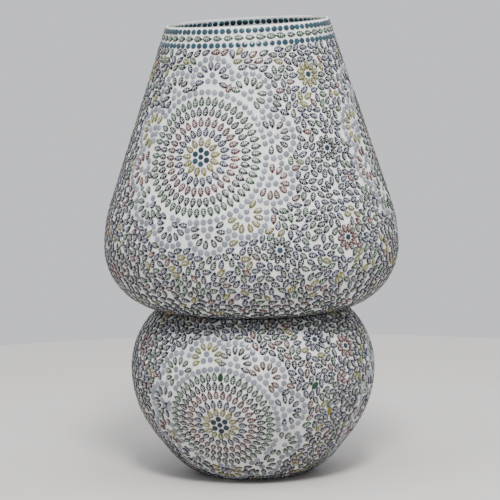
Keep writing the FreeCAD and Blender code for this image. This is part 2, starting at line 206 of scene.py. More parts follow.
# The bulb: an opal LED bulb, with a bright rolled screw cap and black insulator, a white
# housing, and a plate of LEDs and a driver board sealed inside.
def opal_globe():
    material, tree, shader = start_material("opal_globe")
    tree.links.new(blend_colours(tree, noise(tree, 35), (0.80, 0.80, 0.77), (0.88, 0.88, 0.86)),
                   shader.inputs["Base Color"])
    tree.links.new(spread(tree, noise(tree, 120), 0.22, 0.34), shader.inputs["Roughness"])
    shader.inputs["Subsurface Weight"].default_value = 0.2
    shader.inputs["Subsurface Radius"].default_value = (0.004, 0.004, 0.0035)
    roughen(tree, shader, noise(tree, 900), 0.00003)
    return material


give("bulb_diffuser", opal_globe())
give("bulb_housing", surface_finish("white_moulding", (0.74, 0.74, 0.72), (0.84, 0.84, 0.82),
                                    90, 0.38, 0.52, 0.00004))
bright_cap = surface_finish("bright_cap", (0.62, 0.62, 0.61), (0.82, 0.82, 0.81),
                            200, 0.16, 0.32, 0.00002, metal=1.0)
give("bulb_screw_cap", bright_cap)
give("bulb_tip_contact", bright_cap)
give("bulb_insulator", surface_finish("black_vitrite", (0.010, 0.010, 0.014), (0.022, 0.022, 0.030),
                                      150, 0.08, 0.18, 0.00002))
give("bulb_led_board", surface_finish("white_board", (0.66, 0.67, 0.65), (0.78, 0.79, 0.77),
                                      120, 0.45, 0.6, 0.00003))
give("bulb_leds", surface_finish("led_phosphor", (0.80, 0.60, 0.10), (0.90, 0.72, 0.20),
                                 900, 0.35, 0.5, 0.00002))
give("bulb_driver_board", surface_finish("green_board", (0.02, 0.12, 0.05), (0.04, 0.20, 0.09),
                                         300, 0.35, 0.5, 0.00003))


# The beads: flat-backed glass beads, glued to the vessel one by one. Each one lies on the
# outline that runs over the bead tops, and is placed by how far up that outline it sits
# (its run) and how far round from the front (its turn).
outline_step = 0.0004
base_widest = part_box("base_mosaic")[1][0]
shade_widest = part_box("shade_mosaic")[1][0]
base_waist = 0.095
shade_waist = 0.203
side_lean = math.radians(18.3)
flank_lean = math.radians(-38.1)
flank_length = 0.0195
base_low_radius = 0.094
base_high_radius = 0.070
shade_under_radius = 0.0547
shade_shoulder_radius = 0.127
foot_radius = 0.070
foot_lift = 0.0006          # the outline starts this far above the table
rim_height = 0.400
rim_spare = 0.004           # and it runs on past the rim, for the slope
rim_slope = math.tan(math.radians(2.3))


def arc_stretch(centre, radius, start, end):
    count = max(2, int(radius * (end - start) / outline_step))
    lean = np.linspace(start, end, count)
    return centre[0] + radius * np.cos(lean), centre[1] + radius * np.sin(lean), lean


def straight_stretch(start, lean, length):
    along = np.linspace(0, length, max(2, int(length / outline_step)))
    return (start[0] - along * math.sin(lean), start[1] + along * math.cos(lean),
            np.full(len(along), lean))


def joined_line(stretches):
    radius, height, lean = (np.concatenate(column) for column in zip(*stretches))
    steps = np.hypot(np.diff(radius), np.diff(height))
    rising = np.arange(len(lean)) * 1e-12     # keeps the run rising where two stretches meet
    return {"run": np.concatenate([[0], np.cumsum(steps)]) + rising,
            "radius": radius, "height": height, "lean": lean}


def base_outline():
    low = (base_widest - base_low_radius, base_waist)
    high = (base_widest - base_high_radius, base_waist)
    flank_top = (low[0] + base_low_radius * math.cos(flank_lean),
                 low[1] + base_low_radius * math.sin(flank_lean))
    flank_foot = (flank_top[0] + flank_length * math.sin(flank_lean),
                  flank_top[1] - flank_length * math.cos(flank_lean))
    foot = (flank_foot[0] - foot_radius * math.cos(flank_lean),
            flank_foot[1] - foot_radius * math.sin(flank_lean))
    foot_lean = math.asin((foot_lift - foot[1]) / foot_radius)
    return joined_line([
        arc_stretch(foot, foot_radius, foot_lean, flank_lean),
        straight_stretch(flank_foot, flank_lean, flank_length),
        arc_stretch(low, base_low_radius, flank_lean, 0),
        arc_stretch(high, base_high_radius, 0, crease_lean_below),
    ])


def shade_outline():
    under = (shade_widest - shade_under_radius, shade_waist)
    shoulder = (shade_widest - shade_shoulder_radius, shade_waist)
    side_foot = (shoulder[0] + shade_shoulder_radius * math.cos(side_lean),
                 shoulder[1] + shade_shoulder_radius * math.sin(side_lean))
    side_length = (rim_height + rim_spare - side_foot[1]) / math.cos(side_lean)
    return joined_line([
        arc_stretch(under, shade_under_radius, crease_lean_above, 0),
        arc_stretch(shoulder, shade_shoulder_radius, 0, side_lean),
        straight_stretch(side_foot, side_lean, side_length),
    ])


# The crease in the neck is where the base's upper arc and the shade's lower arc cross.
arcs_across = (shade_widest - shade_under_radius) - (base_widest - base_high_radius)
arcs_apart = math.hypot(arcs_across, shade_waist - base_waist)
arcs_bearing = math.atan2(shade_waist - base_waist, arcs_across)
crease_lean_below = arcs_bearing - math.acos(
    (arcs_apart**2 + base_high_radius**2 - shade_under_radius**2)
    / (2 * arcs_apart * base_high_radius))
crease_lean_above = arcs_bearing - math.pi + math.acos(
    (arcs_apart**2 + shade_under_radius**2 - base_high_radius**2)
    / (2 * arcs_apart * shade_under_radius))
lines = {"base": base_outline(), "shade": shade_outline()}


def look_up(side, run, column):
    line = lines[side]
    return np.interp(run, line["run"], line[column])


def run_at(side, height):
    return float(np.interp(height, lines[side]["height"], lines[side]["run"]))


def rim_run(turn):
    """How far up the shade its sloping edge is, at a turn."""
    side_radius = look_up("shade", run_at("shade", rim_height), "radius")
    rise = rim_slope * side_radius * np.sin(turn)
    return run_at("shade", rim_height) + rise / math.cos(side_lean)


def place_on(side, run, turn, depth=0.0):
    lean = look_up(side, run, "lean")
    radius = look_up(side, run, "radius") - depth * np.cos(lean)
    height = look_up(side, run, "height") - depth * np.sin(lean)
    return np.stack([radius * np.sin(turn), -radius * np.cos(turn), height], axis=-1)


def directions_on(side, run, turn):
    """The directions to the right, up the surface and straight out of it."""
    lean = look_up(side, run, "lean")
    right = np.stack([np.cos(turn), np.sin(turn), np.zeros_like(turn)], axis=-1)
    up = np.stack([-np.sin(lean) * np.sin(turn), np.sin(lean) * np.cos(turn), np.cos(lean)],
                  axis=-1)
    out = np.stack([np.cos(lean) * np.sin(turn), -np.cos(lean) * np.cos(turn), np.sin(lean)],
                   axis=-1)
    return right, up, out


walk_step = 0.001


def walk(side, run, turn, heading, distance):
    """Where a straight path over the curved surface ends, and its heading there. A heading
    of 0 is to the right and a quarter turn is up."""
    run, turn, heading, distance = np.broadcast_arrays(
        *(np.asarray(value, float) for value in (run, turn, heading, distance)))
    run, turn, heading = run.copy(), turn.copy(), heading.copy()
    steps = max(1, int(np.ceil(distance.max() / walk_step)))
    pace = distance / steps
    for _ in range(steps):
        radius = look_up(side, run, "radius")
        lean = look_up(side, run, "lean")
        turned = heading - 0.5 * pace * np.sin(lean) * np.cos(heading) / radius
        run = run + pace * np.sin(turned)
        turn = turn + pace * np.cos(turned) / radius
        heading = heading - pace * np.sin(lean) * np.cos(turned) / radius
    return run, turn, heading


bead_depth = 0.0023      # from the bead tops down to their backs
dot_radius = 0.0025
dot_dome = 0.0003
leaf_length = 0.0088
leaf_width = 0.0051
leaf_dome = 0.00055
hand_tilt = 0.022        # how far from flat a bead is set, as a slope
least_sunk, most_sunk = 0.00004, 0.00016
measures = ("run", "turn", "heading", "size")
laid = {"base": [], "shade": []}


def lay(side, kind, colour, run, turn, heading=0.0, size=1.0):
    """Notes down beads of one kind and colour; they are made once all have been laid."""
    run, turn, heading, size = np.broadcast_arrays(
        *(np.atleast_1d(np.asarray(value, float)) for value in (run, turn, heading, size)))
    laid[side].append({"kind": kind, "colour": colour, "run": run, "turn": turn,
                       "heading": heading, "size": size})


def dot_shape():
    """A round bead: its points, its triangles and the finish of each."""
    count = 14
    turn = np.arange(count) * 2 * math.pi / count
    # Rings from the middle outward: share of the radius, and height above the bead's top.
    rings = [(0.50, -0.15 * dot_dome), (0.86, -0.5 * dot_dome), (0.975, -dot_dome),
             (1.0, -1.8 * dot_dome), (1.0, -bead_depth)]
    points = [(0.0, 0.0, 0.0)]
    for share, drop in rings:
        points += [(share * dot_radius * math.cos(a), share * dot_radius * math.sin(a), drop)
                   for a in turn]
    points.append((0.0, 0.0, -bead_depth))
    faces = []
    for n in range(count):
        after = (n + 1) % count
        faces.append((0, 1 + n, 1 + after))
        for ring in range(len(rings) - 1):
            a, b = 1 + ring * count + n, 1 + ring * count + after
            faces += [(a, a + count, b + count), (a, b + count, b)]
        last = 1 + (len(rings) - 1) * count
        faces.append((last + n, len(points) - 1, last + after))
    return np.array(points), np.array(faces), np.zeros(len(faces), int)


def leaf_edge(share, half_length, half_width):
    """A point on a leaf's outline: share 0 is its pointed tip and 1 its round end."""
    bend = share * math.pi
    taper = 0.62
    fullest = 0.823
    wide = math.sin(bend) * math.sin(0.5 * bend) ** taper / fullest
    return half_length * math.cos(bend), half_width * wide


def leaf_shape():
    """A leaf bead of dark glass with a pale midrib and three pairs of pale side veins that
    slant towards its tip. Finish 0 is the pale vein and finish 1 the dark glass."""
    border = 0.00060
    midrib = 0.00011
    half_length, half_width = 0.5 * leaf_length, 0.5 * leaf_width
    inner_length, inner_width = half_length - border, half_width - border
    # Stations from the round end to the tip: place on the midrib, place on the outline,
    # and whether a side vein follows.
    stations = [(-0.00335, 0.97, False), (-0.00290, 0.82, False), (-0.00228, 0.656, True),
                (-0.00207, 0.634, False), (-0.00072, 0.481, True), (-0.00052, 0.457, False),
                (0.00066, 0.333, True), (0.00085, 0.312, False), (0.00270, 0.05, False)]
    last = len(stations) - 1
    points, faces, finish = [], [], []

    def add(x, y, drop):
        points.append((x, y, drop))
        return len(points) - 1

    rows = {}
    for side in (1, -1):
        for index, (rib_x, share, _) in enumerate(stations):
            x, y = leaf_edge(share, inner_length, inner_width)
            outer_x, outer_y = leaf_edge(share, half_length, half_width)
            fade = (abs(x) / half_length) ** 2
            rows[side, index] = (
                add(rib_x, side * midrib, -0.5 * leaf_dome * (rib_x / half_length) ** 2),
                add(x, side * max(y, midrib * 1.2), -0.42 * leaf_dome - 0.35 * leaf_dome * fade),
                add(outer_x, side * outer_y, -leaf_dome - 0.15 * leaf_dome * fade),
                add(outer_x, side * outer_y, -bead_depth),
            )
    tip = (add(half_length, 0, -1.25 * leaf_dome), add(half_length, 0, -bead_depth))
    tail = (add(-half_length, 0, -1.1 * leaf_dome), add(-half_length, 0, -bead_depth))

    def add_quad(a, b, c, d, kind, flip):
        quad = (a, b, c, d) if not flip else (d, c, b, a)
        faces.extend([(quad[0], quad[1], quad[2]), (quad[0], quad[2], quad[3])])
        finish.extend([kind, kind])

    def add_triangle(a, b, c, flip):
        faces.append((a, b, c) if not flip else (c, b, a))
        finish.append(1)

    for index in range(last):
        vein = stations[index][2]
        left, left_next = rows[1, index], rows[1, index + 1]
        right, right_next = rows[-1, index], rows[-1, index + 1]
        add_quad(right[0], right_next[0], left_next[0], left[0], int(index == last - 1), False)
        add_quad(right[3], right_next[3], left_next[3], left[3], 1, True)
        for here, there, flip in ((left, left_next, False), (right, right_next, True)):
            add_quad(here[0], there[0], there[1], here[1], int(not vein), flip)
            add_quad(here[1], there[1], there[2], here[2], 1, flip)
            add_quad(here[2], there[2], there[3], here[3], 1, flip)
    for end, index, flip in ((tip, last, False), (tail, 0, True)):
        left, right = rows[1, index], rows[-1, index]
        add_quad(right[0], right[1], left[1], left[0], int(end is tip), flip)
        add_quad(right[1], right[2], end[0], left[1], 1, flip)
        add_triangle(left[1], end[0], left[2], flip)
        add_quad(right[2], right[3], end[1], end[0], 1, flip)
        add_quad(end[0], end[1], left[3], left[2], 1, flip)
        add_triangle(right[3], left[3], end[1], flip)
    return np.array(points), np.array(faces), np.array(finish)


shapes = {"dot": dot_shape(), "leaf": leaf_shape()}
hand = np.random.default_rng(7)


def bead_piece(name, side, kind, groups, finishes):
    """One mesh of all the beads of a kind and colour on one side, each a closed solid, set
    by hand: a little larger or smaller, and not quite flat."""
    points, faces, finish = shapes[kind]
    run, turn, heading, size = (
        np.concatenate([group[key] for group in groups]) for key in measures)
    count = len(run)
    right, up, out = directions_on(side, run, turn)
    tilt_right, tilt_up = hand.normal(0, hand_tilt, (2, count, 1))
    normal = out + tilt_right * right + tilt_up * up
    normal /= np.linalg.norm(normal, axis=1, keepdims=True)
    along = np.cos(heading)[:, None] * right + np.sin(heading)[:, None] * up
    across = np.cross(normal, along)
    across /= np.linalg.norm(across, axis=1, keepdims=True)
    along = np.cross(across, normal)
    sunk = hand.uniform(least_sunk, most_sunk, count)
    centre = place_on(side, run, turn) - out * sunk[:, None]
    scaled = points[None] * np.stack([size, size, np.ones(count)], axis=-1)[:, None]
    world = (centre[:, None] + scaled[:, :, :1] * along[:, None]
             + scaled[:, :, 1:2] * across[:, None] + scaled[:, :, 2:] * normal[:, None])
    triangles = faces[None] + (np.arange(count) * len(points))[:, None, None]
    mesh = bpy.data.meshes.new(name)
    mesh.vertices.add(count * len(points))
    mesh.vertices.foreach_set("co", world.reshape(-1).astype(np.float32))
    mesh.loops.add(count * len(faces) * 3)
    mesh.loops.foreach_set("vertex_index", triangles.reshape(-1).astype(np.int32))
    mesh.polygons.add(count * len(faces))
    mesh.polygons.foreach_set("loop_start", np.arange(0, count * len(faces) * 3, 3, dtype=np.int32))
    mesh.polygons.foreach_set("material_index", np.tile(finish, count).astype(np.int32))
    mesh.polygons.foreach_set("use_smooth", np.ones(count * len(faces), bool))
    for material in finishes:
        mesh.materials.append(material)
    tint = mesh.attributes.new("tint", "FLOAT", "POINT")
    tint.data.foreach_set("value", np.repeat(hand.random(count), len(points)).astype(np.float32))
    mesh.update(calc_edges=True)
    mesh.validate()
    piece = bpy.data.objects.new(name, mesh)
    bpy.context.scene.collection.objects.link(piece)
    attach(piece, "lamp")
    return piece


def bead_glass(name, low, high, smooth, rough, coat):
    """Glass that differs a little from bead to bead and clouds slightly within each."""
    material, tree, shader = start_material(name)
    own = tree.nodes.new("ShaderNodeAttribute")
    own.attribute_name = "tint"
    clouds = tree.nodes.new("ShaderNodeMix")
    clouds.inputs["Factor"].default_value = 0.35
    tree.links.new(own.outputs["Fac"], clouds.inputs["A"])
    tree.links.new(noise(tree, 420), clouds.inputs["B"])
    colour = blend_colours(tree, clouds.outputs["Result"], low, high, 0.1, 0.9)
    tree.links.new(colour, shader.inputs["Base Color"])
    tree.links.new(spread(tree, noise(tree, 700), smooth, rough), shader.inputs["Roughness"])
    shader.inputs["Coat Weight"].default_value = coat
    shader.inputs["Coat Roughness"].default_value = 0.06
    shader.inputs["Specular IOR Level"].default_value = 0.3
    roughen(tree, shader, noise(tree, 500, 1.0), 0.00006)
    return material


leaf_colours = {
    "navy": ((0.004, 0.005, 0.018), (0.012, 0.014, 0.040)),
    "black": ((0.003, 0.004, 0.006), (0.010, 0.012, 0.016)),
    "green": ((0.005, 0.020, 0.008), (0.018, 0.050, 0.022)),
    "olive": ((0.060, 0.055, 0.006), (0.130, 0.120, 0.020)),
    "maroon": ((0.034, 0.009, 0.008), (0.072, 0.021, 0.018)),
    "purple": ((0.009, 0.005, 0.022), (0.024, 0.015, 0.050)),
}
pale_veins = bead_glass("pale_veins", (0.66, 0.68, 0.67), (0.82, 0.83, 0.81),
                        smooth=0.15, rough=0.35, coat=0.0)
leaf_glass = {name: bead_glass("leaf_" + name, low, high, smooth=0.14, rough=0.32, coat=0.0)
              for name, (low, high) in leaf_colours.items()}
dot_colours = {
    "grey": ((0.125, 0.140, 0.165), (0.235, 0.255, 0.295), 0.3),
    "teal": ((0.014, 0.032, 0.048), (0.022, 0.062, 0.080), 0.15),
    "darkest": ((0.003, 0.008, 0.013), (0.010, 0.023, 0.034), 0.1),
    "deep": ((0.006, 0.018, 0.027), (0.020, 0.048, 0.070), 0.3),
}
dot_glass = {name: bead_glass(name + "_dot", low, high, smooth=0.06, rough=0.18, coat=coat)
             for name, (low, high, coat) in dot_colours.items()}


# The rim: a row of petrol-blue round beads, a row of green leaves lying along the edge with
# their tips to the right, and another blue row. The rows keep their distance from the edge.
# Each row: its node, kind of bead, distance below the edge, number, and turn of the first.
rim_rows = [
    ("rim_dots_upper", "dot", 0.0040, 81, 0.0),
    ("rim_leaves", "leaf", 0.0102, 50, 0.0175),
    ("rim_dots_lower", "dot", 0.0164, 81, 0.035),
]
rim_keep = 0.0198           # the strip below the edge that the rows take up
for node, kind, below_edge, count, first in rim_rows:
    turn = first + np.arange(count) * 2 * math.pi / count
    turn = turn + hand.normal(0, 0.003, count)
    row = {"kind": kind, "colour": "", "run": rim_run(turn) - below_edge, "turn": turn,
           "heading": hand.normal(0, 0.05, count), "size": hand.uniform(0.93, 1.04, count)}
    finishes = [dot_glass["teal"]] if kind == "dot" else [pale_veins, leaf_glass["green"]]
    piece = bead_piece(node + "_beads", "shade", kind, [row], finishes)
    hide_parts(node)


# Rosettes: three round the shade and three round the base. Rings of leaves, tips outward,
# round seven blue dots; a ring of grey dots; then scalloped lobes, each with three grey dots,
# a fan of leaves with their tips inward and an arch of grey dots.
# For spacing, a leaf counts as three balls: where along it they sit, and their radii.
balls = np.array([(-0.00165, 0.00240), (0.00080, 0.00197), (0.00296, 0.00109)])
dot_pitch = 0.0060
dot_space = 0.0001          # the least grout between round beads
heart_ring = 0.0061         # six dots round the middle one of a rosette
lobe_ring = 0.0037          # three dots inside a lobe
fan_leaves = 8
fan_spread = 108            # degrees to each side of a lobe's outward direction
arch_spread = 102
inlet_height = 0.0310       # the grommet in the back of the base needs its own room
inlet_clear = 0.0092


def circle_from(side, centre, distance, count, first=0.0):
    heading = centre[2] + first + np.arange(count) * 2 * math.pi / count
    return walk(side, centre[0], centre[1], heading, distance)


def leaf_balls(side, run, turn, heading, size):
    """Centres and radii of the three balls that stand for a leaf, and its directions."""
    right, up, _ = directions_on(side, run, turn)
    along = np.cos(heading)[:, None] * right + np.sin(heading)[:, None] * up
    across = -np.sin(heading)[:, None] * right + np.cos(heading)[:, None] * up
    centre = place_on(side, run, turn)
    offsets = balls[:, 0][None, :] * size[:, None]
    points = centre[:, None] + offsets[:, :, None] * along[:, None]
    radii = balls[:, 1][None, :] * size[:, None]
    return points, radii, offsets, across, right, up


def laid_balls(side):
    """Balls for every bead laid so far, and one for the grommet."""
    points, radii = [np.full((1, 3), 9.0)], [np.zeros(1)]
    if side == "base":
        points.append(place_on(side, np.array([run_at(side, inlet_height)]), np.array([math.pi])))
        radii.append(np.array([inlet_clear]))
    for group in laid[side]:
        if group["kind"] == "dot":
            points.append(place_on(side, group["run"], group["turn"]))
            radii.append(dot_radius * group["size"])
        else:
            here, size, *_ = leaf_balls(side, *(group[key] for key in measures))
            points.append(here.reshape(-1, 3))
            radii.append(size.reshape(-1))
    return np.concatenate(points), np.concatenate(radii)


def lay_dots_where_free(side, colour, run, turn):
    """Lays the round beads of a row that touch no bead already there, nor each other."""
    taken, radii = laid_balls(side)
    kept = []
    for number, point in enumerate(place_on(side, run, turn)):
        if np.min(np.linalg.norm(taken - point, axis=1) - radii) > dot_radius + dot_space:
            kept.append(number)
            taken = np.concatenate([taken, point[None]])
            radii = np.append(radii, dot_radius)
    lay(side, "dot", colour, run[kept], turn[kept], 0.0, hand.uniform(0.97, 1.07, len(kept)))


def rosette(side, height, turn, leaf_size, rings, dots_at, lobes, fan_at, arch_at):
    centre = (run_at(side, height), turn, math.pi / 2)
    heart_colour = "deep" if side == "shade" else "darkest"
    lay(side, "dot", heart_colour, centre[0], centre[1], 0.0, 0.95)
    run, around, _ = circle_from(side, centre, heart_ring, 6, 0.1)
    lay(side, "dot", heart_colour, run, around, 0.0, 1.02)
    for distance, count, colour in rings:
        run, around, heading = circle_from(side, centre, distance, count, hand.uniform(0, 0.3))
        lay(side, "leaf", colour, run, around, heading + hand.normal(0, 0.06, count),
            leaf_size * hand.uniform(0.96, 1.04, count))
    hearts = []
    for clockwise, distance, colour in lobes:
        heart = walk(side, centre[0], centre[1], centre[2] - math.radians(clockwise), distance)
        hearts.append(heart)
        fan = np.linspace(-fan_spread, fan_spread, fan_leaves) + hand.normal(0, 2, fan_leaves)
        fan = np.radians(fan)
        run, around, heading = walk(side, heart[0], heart[1], heart[2] + fan, fan_at)
        heading = heading + math.pi + hand.normal(0, 0.08, fan_leaves)
        lay(side, "leaf", colour, run, around, heading,
            leaf_size * hand.uniform(0.92, 1.0, fan_leaves))
    run, around, _ = circle_from(side, centre, dots_at, int(2 * math.pi * dots_at / dot_pitch))
    lay_dots_where_free(side, "grey", run, around)
    for heart in hearts:
        run, around, _ = circle_from(side, heart, lobe_ring, 3)
        lay_dots_where_free(side, "grey", run, around)
    for heart in hearts:
        step = math.degrees(dot_pitch / arch_at)
        arch = np.radians(np.arange(-arch_spread, arch_spread + 1, step))
        run, around, _ = walk(side, heart[0], heart[1], heart[2] + arch, arch_at)
        lay_dots_where_free(side, "grey", run, around)


# Rings: distance from the middle, number of leaves, colour. Lobes: degrees clockwise from the
# top, distance of the lobe's middle, colour.
shade_rings = [(0.0135, 13, "olive"), (0.0221, 22, "navy"), (0.0308, 30, "maroon"),
               (0.0400, 41, "black"), (0.0488, 49, "green")]
shade_lobes = [(1.6, 0.0680, "purple"), (32, 0.0672, "green"), (69, 0.0645, "black"),
               (104, 0.0655, "maroon"), (137, 0.0650, "olive"), (168, 0.0650, "black"),
               (200, 0.0625, "navy"), (231, 0.0610, "green"), (263, 0.0630, "maroon"),
               (294, 0.0635, "olive"), (329, 0.0652, "black")]
base_rings = [(0.0131, 13, "olive"), (0.0207, 21, "navy"), (0.0288, 30, "maroon"),
              (0.0366, 39, "black"), (0.0446, 48, "green")]
base_lobes = [(-10, 0.0612, "olive"), (16, 0.0592, "black"), (46, 0.0595, "maroon"),
              (83, 0.0592, "navy"), (120, 0.0575, "green"), (152, 0.0575, "black"),
              (184, 0.0572, "olive"), (216, 0.0572, "navy"), (250, 0.0575, "maroon"),
              (283, 0.0560, "navy"), (318, 0.0590, "green")]
for turn in (-23, 97, 217):
    rosette("shade", 0.291, math.radians(turn), leaf_size=1.0, rings=shade_rings, dots_at=0.0568,
            lobes=shade_lobes, fan_at=0.0114, arch_at=0.0186)
for turn in (-17, 103, 223):
    rosette("base", 0.059, math.radians(turn), leaf_size=0.93, rings=base_rings, dots_at=0.0511,
            lobes=base_lobes, fan_at=0.0107, arch_at=0.0176)


# Small flowers stand here and there between the rosettes: a blue dot and ten leaves round
# it, with their tips to the middle. Those that would not fit are left out.
flower_ring = 0.0076
flower_leaves = 10
flower_leaf_size = 0.94
flower_clear = 0.0020
# Degrees round from the front, height, colour; each is repeated twice round the lamp.
flowers = {
    "shade": [(36.5, 0.358, "olive"), (38.5, 0.296, "black"), (40, 0.221, "maroon"),
              (10.7, 0.214, "black")],
    "base": [(52, 0.122, "maroon"), (55, 0.073, "black"), (33, 0.131, "navy")],
}
for side, places in flowers.items():
    for around in (0, 120, 240):
        for degrees, height, colour in places:
            centre = (run_at(side, height), math.radians(degrees + around), hand.uniform(0, 1))
            run, turn, heading = circle_from(side, centre, flower_ring, flower_leaves)
            taken, radii = laid_balls(side)
            points = place_on(side, run, turn)[:, None]
            if np.min(np.linalg.norm(points - taken[None], axis=2) - radii) > flower_clear:
                lay(side, "dot", "deep", centre[0], centre[1])
                lay(side, "leaf", colour, run, turn, heading + math.pi, flower_leaf_size)


# The field: leaves of all colours packed into the rest of the surface, lying every way. They
# are strewn evenly, then nudged apart until none overlaps another.
cell_area = {"shade": 5.2e-5, "base": 4.9e-5}      # of surface for each leaf
row_pitch = 0.0062
strewn_clear = 0.0036       # from the beads already laid
strewn_past = 0.0030        # leaves this far past the upper limit are pulled back to it
gap = 0.0010                # of grout between neighbours
most_overlap = 0.0002       # a leaf that can't be freed from more than this is left out
ball_reach = 0.0072         # balls further apart than this can't touch
eagerness = 0.45            # share of an overlap that one round of nudging takes away
longest_nudge = 0.0012
most_turned = 0.25
turning_ease = 9e-6         # how hard a leaf is to turn
foot_keep = 0.0036
crease_keep = {"base": 0.0017, "shade": 0.0030}
rows_keep = 0.0024          # from the rows at the rim


def near_pairs(points, reach):
    """All pairs of points closer than a reach, found by sorting them into cubes."""
    cubes = np.floor(points / reach).astype(np.int64)
    cubes -= cubes.min(axis=0) - 1
    width = cubes.max(axis=0) + 2
    keys = (cubes[:, 0] * width[1] + cubes[:, 1]) * width[2] + cubes[:, 2]
    order = np.argsort(keys, kind="stable")
    ordered = keys[order]
    first, second = [], []
    for dx in (-1, 0, 1):
        for dy in (-1, 0, 1):
            for dz in (-1, 0, 1):
                wanted = keys + (dx * width[1] + dy) * width[2] + dz
                low = np.searchsorted(ordered, wanted, "left")
                high = np.searchsorted(ordered, wanted, "right")
                number = high - low
                source = np.repeat(np.arange(len(points)), number)
                offset = np.arange(len(source)) - np.repeat(np.cumsum(number) - number, number)
                target = order[np.repeat(low, number) + offset]
                ahead = source < target
                first.append(source[ahead])
                second.append(target[ahead])
    first, second = np.concatenate(first), np.concatenate(second)
    close = np.sum((points[first] - points[second]) ** 2, axis=1) < reach**2
    return first[close], second[close]


def limits(side, turn):
    """The lowest and highest run that the field's leaves may have, at a turn."""
    if side == "shade":
        return np.full_like(turn, crease_keep[side]), rim_run(turn) - rim_keep - rows_keep
    crease = lines[side]["run"][-1] - crease_keep[side]
    return np.full_like(turn, foot_keep), np.full_like(turn, crease)


def nudge_apart(side, run, turn, heading, size, rounds):
    """Pushes and turns leaves off one another and off the beads already laid, a little each
    round. Also returns how hard each is still pressed."""
    still, still_radii = laid_balls(side)
    count = len(run)
    owner = np.concatenate([np.repeat(np.arange(count), 3), np.full(len(still), -1)])
    for step in range(rounds):
        points, radii, offsets, across, right, up = leaf_balls(side, run, turn, heading, size)
        everything = np.concatenate([points.reshape(-1, 3), still])
        if step % 4 == 0:
            first, second = near_pairs(everything, ball_reach)
            apart = (owner[first] != owner[second])
            first, second = first[apart], second[apart]
        all_radii = np.concatenate([radii.reshape(-1), still_radii])
        between = everything[first] - everything[second]
        distance = np.linalg.norm(between, axis=1) + 1e-9
        overlap = all_radii[first] + all_radii[second] + gap - distance
        pressed = overlap > 0
        a, b = first[pressed], second[pressed]
        push = between[pressed] / distance[pressed, None] * overlap[pressed, None]
        share = np.where((owner[a] >= 0) & (owner[b] >= 0), 0.5, 1.0)[:, None]
        force = np.zeros_like(everything)
        np.add.at(force, a, push * share)
        np.add.at(force, b, -push * share)
        force = force[:count * 3].reshape(count, 3, 3)
        total = force.sum(axis=1)
        twist = (offsets * np.einsum("nij,nj->ni", force, across)).sum(axis=1)
        sideways, upward = (
            np.clip(eagerness * np.einsum("nj,nj->n", total, way), -longest_nudge, longest_nudge)
            for way in (right, up))
        heading = heading + np.clip(eagerness * twist / turning_ease, -most_turned, most_turned)
        low, high = limits(side, turn)
        run = np.clip(run + upward, low, high)
        turn = turn + sideways / look_up(side, run, "radius")
    pressure = np.zeros(count)
    overlap = overlap[pressed]
    for index in (a, b):
        mine = owner[index] >= 0
        np.maximum.at(pressure, owner[index][mine], overlap[mine])
    return run, turn, heading, pressure


def strew(side):
    """Evenly spread places over the side, leaving out what the rosettes cover."""
    low, high = limits(side, np.linspace(0, 2 * math.pi, 60))
    rows = int(round((high.max() - low.min()) / row_pitch))
    run, turn = [], []
    pitch = cell_area[side] / row_pitch
    for number, level in enumerate(np.linspace(low.min(), high.max(), rows + 1)):
        radius = look_up(side, level, "radius")
        count = int(round(2 * math.pi * radius / pitch))
        run.append(np.full(count, level))
        turn.append((np.arange(count) + 0.5 * (number % 2)) * 2 * math.pi / count)
    run, turn = np.concatenate(run), np.concatenate(turn)
    run = run + hand.normal(0, 0.0012, len(run))
    turn = turn + hand.normal(0, 0.0014, len(run)) / look_up(side, run, "radius")
    low, high = limits(side, turn)
    inside = run < high + strewn_past
    run, turn = np.clip(run, low, high)[inside], turn[inside]
    still, _ = laid_balls(side)
    points = place_on(side, run, turn)
    nearest = np.array([np.min(np.sum((still - point) ** 2, axis=1)) for point in points]) ** 0.5
    free = nearest > strewn_clear
    return run[free], turn[free]


def flow(run, turn):
    """A slowly changing direction, so that neighbouring leaves lie somewhat alike."""
    return (2.2 * np.sin(3 * turn + 31 * run) + 1.9 * np.sin(7 * turn - 53 * run + 1.3)
            + 1.5 * np.cos(11 * turn + 90 * run))


field_shares = {"navy": 0.36, "black": 0.32, "green": 0.12, "olive": 0.06, "maroon": 0.08,
                "purple": 0.06}
rounds = 140
for side in ("shade", "base"):
    run, turn = strew(side)
    heading = 0.45 * flow(run, turn) + hand.normal(0, 0.8, len(run))
    size = hand.uniform(0.94, 1.06, len(run))
    run, turn, heading, pressure = nudge_apart(side, run, turn, heading, size, rounds)
    fits = pressure < gap + most_overlap
    run, turn, heading, size = run[fits], turn[fits], heading[fits], size[fits]
    colour = hand.choice(list(field_shares), len(run), p=list(field_shares.values()))
    for name in field_shares:
        chosen = colour == name
        lay(side, "leaf", name, run[chosen], turn[chosen], heading[chosen], size[chosen])


# The plain leaves: three of the glass leaves on the base came without pale veins, two dark
# green and one olive. They are glued in among the others.
def swap_for_plain(side, degrees, run, colour):
    """Makes the leaf nearest to a place a plain one."""
    wanted = place_on(side, np.array([run]), np.radians([degrees]))
    leaves = [group for group in laid[side] if group["kind"] == "leaf"]
    away = [np.linalg.norm(place_on(side, group["run"], group["turn"]) - wanted, axis=1)
            for group in leaves]
    nearest = int(np.argmin([distance.min() for distance in away]))
    group, number = leaves[nearest], int(np.argmin(away[nearest]))
    lay(side, "leaf", colour, *(group[key][number] for key in measures))
    for key in measures:
        group[key] = np.delete(group[key], number)


